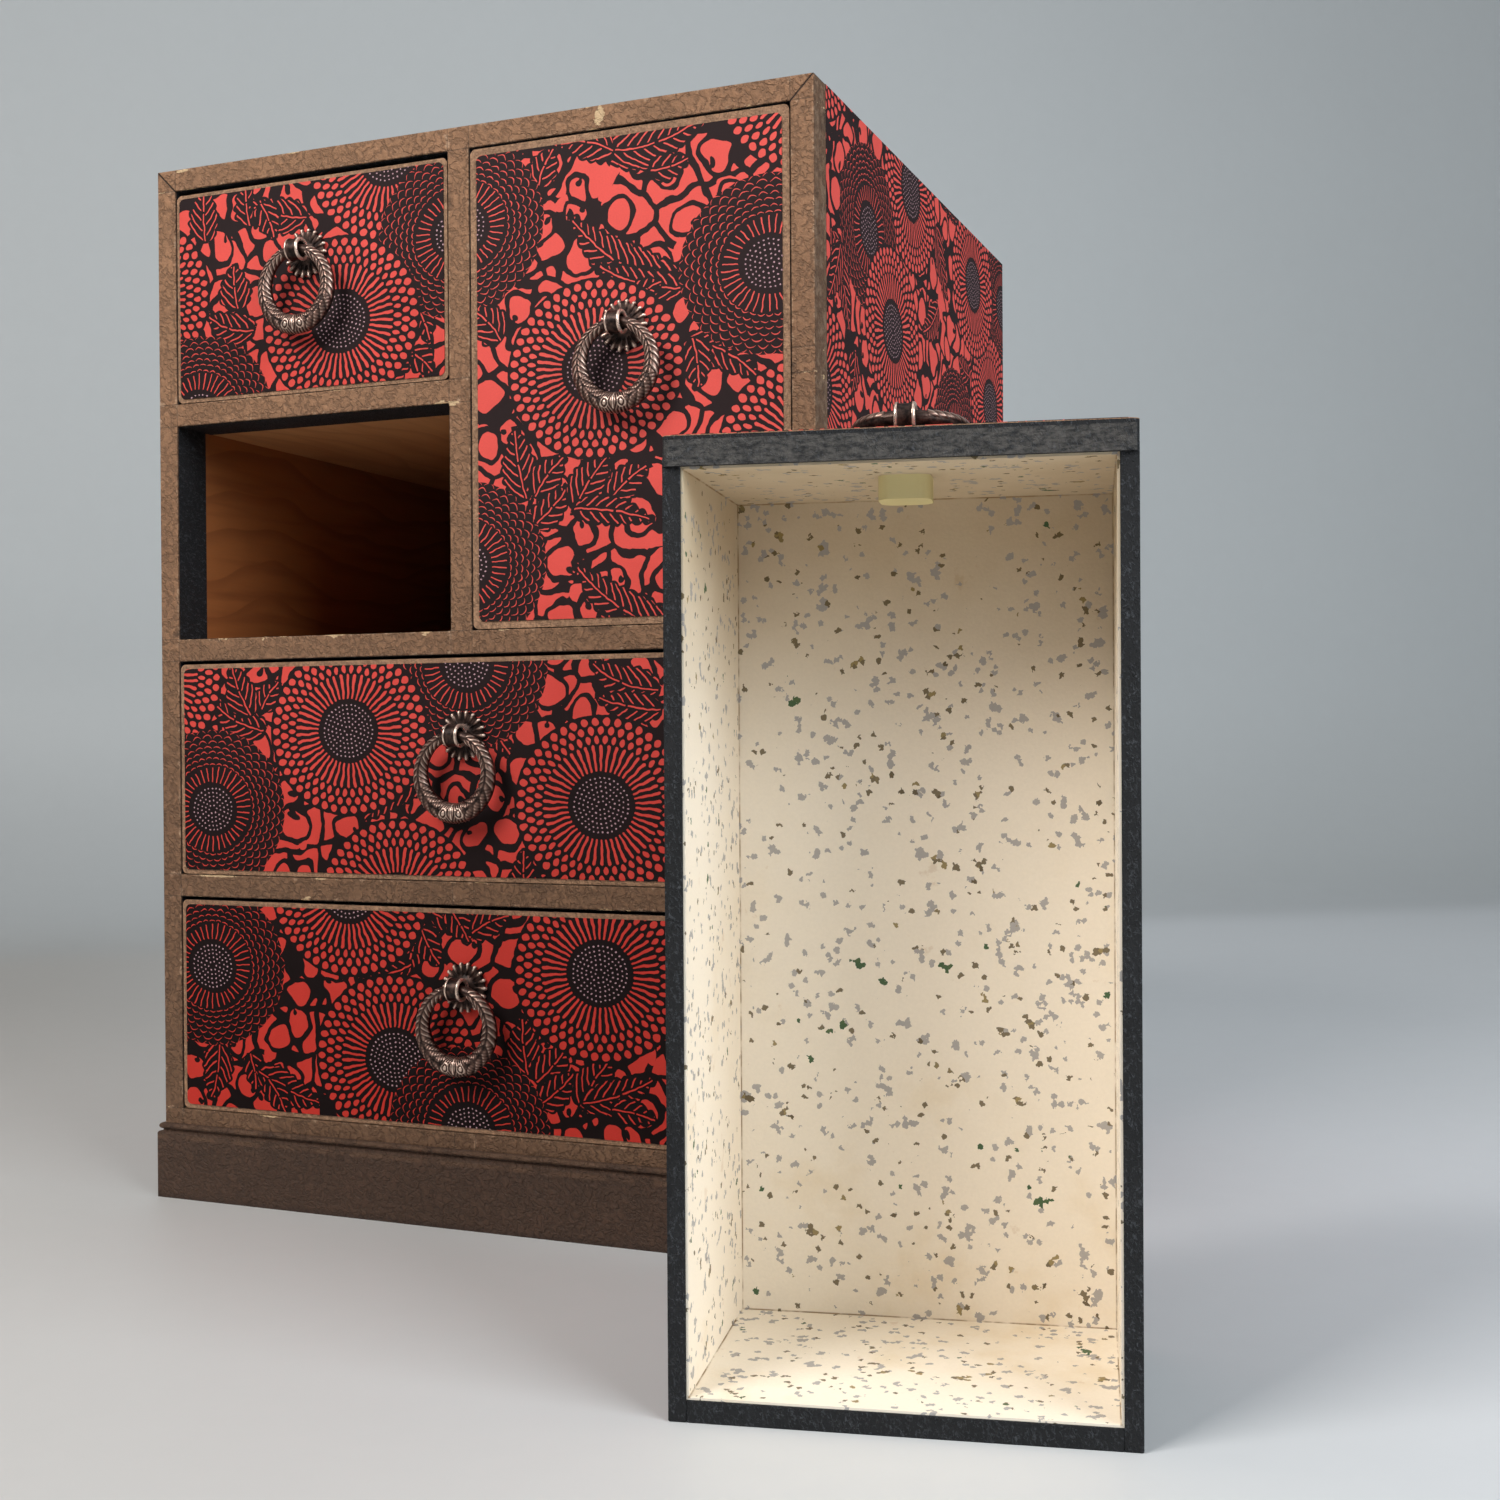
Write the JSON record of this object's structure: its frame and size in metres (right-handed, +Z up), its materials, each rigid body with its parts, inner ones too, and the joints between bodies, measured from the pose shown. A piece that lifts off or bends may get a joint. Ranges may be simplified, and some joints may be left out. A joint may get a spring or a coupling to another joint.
{
  "type": "drawer cabinet",
  "caption": "Small tabletop chest covered in patterned paper, with small, tall and full-width drawers on ring pulls, a moulded plinth, and a small drawer taken out and stood on end.",
  "frame": {"origin": "on the floor, under the middle of the front plinth rail, in the plane of the front frame's face", "axes": "+X to the right of someone facing the drawers, +Y to the back, +Z up; drawers pull out along -Y"},
  "size_m": [0.3004, 0.3026, 0.3],
  "materials": {
    "carcass_wood": "bare, planed",
    "back_wood": "bare, planed",
    "bay_wood": "bare, aged red-brown",
    "ceiling_wood": "bare, planed",
    "plinth_paper": "wrapped in dark brown paper",
    "patterned_paper": "matt, printed with flowers in blue-black on red",
    "brown_paper": "crumpled, worn",
    "black_paper": "matt",
    "drawer_board": "covered in black paper",
    "lining_paper": "cream with scattered flecks",
    "pull_metal": "cast, darkened, rubbed bright"
  },
  "bodies": {
    "cabinet": {"left_side": "bay_wood", "right_side": "carcass_wood", "top_board": "carcass_wood", "bottom_board": "carcass_wood", "back_panel": "back_wood", "centre_divider": "bay_wood", "small_shelf": "ceiling_wood", "middle_shelf": "bay_wood", "lower_shelf": "carcass_wood", "plinth": "plinth_paper", "cover_papers": "patterned_paper", "front_edging": "brown_paper", "bay_strips": "black_paper"},
    "top_left_drawer": {"top_left_front": "drawer_board", "top_left_side_walls": "drawer_board", "top_left_back_wall": "drawer_board", "top_left_bottom": "drawer_board", "top_left_lining": "lining_paper", "top_left_face_paper": "patterned_paper", "top_left_rosette": "pull_metal", "top_left_eye": "pull_metal"},
    "top_left_pull_ring": {"top_left_ring": "pull_metal"},
    "tall_drawer": {"tall_front": "drawer_board", "tall_side_walls": "drawer_board", "tall_back_wall": "drawer_board", "tall_bottom": "drawer_board", "tall_lining": "lining_paper", "tall_face_paper": "patterned_paper", "tall_rosette": "pull_metal", "tall_eye": "pull_metal"},
    "tall_pull_ring": {"tall_ring": "pull_metal"},
    "upper_wide_drawer": {"upper_wide_front": "drawer_board", "upper_wide_side_walls": "drawer_board", "upper_wide_back_wall": "drawer_board", "upper_wide_bottom": "drawer_board", "upper_wide_lining": "lining_paper", "upper_wide_face_paper": "patterned_paper", "upper_wide_rosette": "pull_metal", "upper_wide_eye": "pull_metal"},
    "upper_wide_pull_ring": {"upper_wide_ring": "pull_metal"},
    "lower_wide_drawer": {"lower_wide_front": "drawer_board", "lower_wide_side_walls": "drawer_board", "lower_wide_back_wall": "drawer_board", "lower_wide_bottom": "drawer_board", "lower_wide_lining": "lining_paper", "lower_wide_face_paper": "patterned_paper", "lower_wide_rosette": "pull_metal", "lower_wide_eye": "pull_metal"},
    "lower_wide_pull_ring": {"lower_wide_ring": "pull_metal"},
    "taken_out_drawer": {"taken_out_front": "drawer_board", "taken_out_side_walls": "drawer_board", "taken_out_back_wall": "drawer_board", "taken_out_bottom": "drawer_board", "taken_out_lining": "lining_paper", "taken_out_face_paper": "patterned_paper", "taken_out_rosette": "pull_metal", "taken_out_eye": "pull_metal"},
    "taken_out_pull_ring": {"taken_out_ring": "pull_metal"}
  },
  "joints": [
    {"name": "top_left_drawer_slide", "type": "slide", "parent": "cabinet", "child": "top_left_drawer", "axis": [0, -1, 0], "range_m": [0, 0.15]},
    {"name": "top_left_ring_swing", "type": "hinge", "parent": "top_left_drawer", "child": "top_left_pull_ring", "pos_m": [-0.0498, -0.00512, 0.27065], "axis": [-1, 0, 0], "range_deg": [-6, 184]},
    {"name": "tall_drawer_slide", "type": "slide", "parent": "cabinet", "child": "tall_drawer", "axis": [0, -1, 0], "range_m": [0, 0.15]},
    {"name": "tall_ring_swing", "type": "hinge", "parent": "tall_drawer", "child": "tall_pull_ring", "pos_m": [0.0491, -0.00512, 0.2413], "axis": [-1, 0, 0], "range_deg": [-6, 184]},
    {"name": "upper_wide_drawer_slide", "type": "slide", "parent": "cabinet", "child": "upper_wide_drawer", "axis": [0, -1, 0], "range_m": [0, 0.15]},
    {"name": "upper_wide_ring_swing", "type": "hinge", "parent": "upper_wide_drawer", "child": "upper_wide_pull_ring", "pos_m": [0, -0.00512, 0.13455], "axis": [-1, 0, 0], "range_deg": [-6, 184]},
    {"name": "lower_wide_drawer_slide", "type": "slide", "parent": "cabinet", "child": "lower_wide_drawer", "axis": [0, -1, 0], "range_m": [0, 0.15]},
    {"name": "lower_wide_ring_swing", "type": "hinge", "parent": "lower_wide_drawer", "child": "lower_wide_pull_ring", "pos_m": [0, -0.00512, 0.06605], "axis": [-1, 0, 0], "range_deg": [-6, 184]},
    {"name": "taken_out_drawer_lift", "type": "slide", "parent": "cabinet", "child": "taken_out_drawer", "axis": [0, 0, 1], "range_m": [0, 0.2]},
    {"name": "taken_out_ring_swing", "type": "hinge", "parent": "taken_out_drawer", "child": "taken_out_pull_ring", "pos_m": [0.14826, -0.07604, 0.19772], "axis": [0.9816, 0.1908, 0], "range_deg": [0, 190]}
  ]
}
